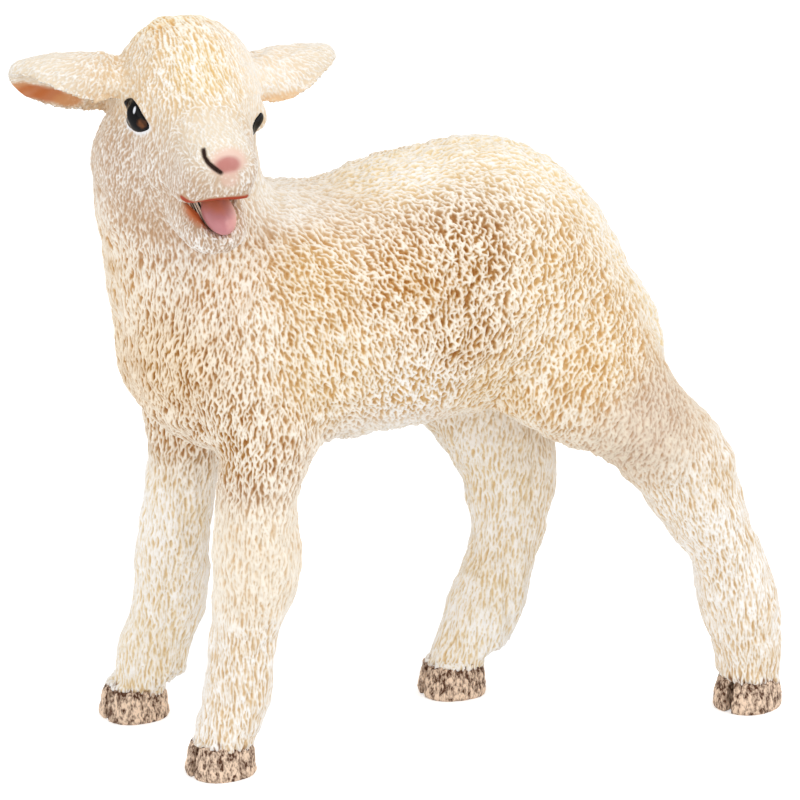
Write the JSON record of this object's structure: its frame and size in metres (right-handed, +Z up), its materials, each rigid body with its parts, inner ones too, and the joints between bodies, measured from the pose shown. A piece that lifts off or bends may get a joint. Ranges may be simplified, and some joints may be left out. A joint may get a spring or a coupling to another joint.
{
  "type": "toy lamb figure",
  "caption": "Moulded toy lamb standing on cloven hooves, with its head turned to its left, mouth open, level cupped ears and woolly coat.",
  "frame": {"origin": "on the floor the four soles stand on, under the middle of the figure's box", "axes": "+Z up; -Y is where the lamb's breast points; +X is the lamb's left side, the way its head is turned"},
  "size_m": [0.0214, 0.0504, 0.049],
  "materials": {
    "body_wool": "matt cream wool relief with a tan wash in the hollows",
    "face_hair": "matt off-white short hair",
    "leg_hair": "matt cream short hair",
    "hoof_horn": "matt mottled brown",
    "eye_black": "gloss black paint",
    "nose_pink": "satin pink paint",
    "tongue_pink": "satin pink paint"
  },
  "bodies": {
    "root": {"trunk": "body_wool", "head": "face_hair", "ear_left": "face_hair", "ear_right": "face_hair", "tail": "body_wool", "foreleg_left": "leg_hair", "foreleg_right": "leg_hair", "hindleg_left": "leg_hair", "hindleg_right": "leg_hair", "hoof_foreleg_left": "hoof_horn", "hoof_foreleg_right": "hoof_horn", "hoof_hindleg_left": "hoof_horn", "hoof_hindleg_right": "hoof_horn", "eye_left": "eye_black", "eye_right": "eye_black", "nose": "nose_pink", "tongue": "tongue_pink"}
  },
  "joints": []
}
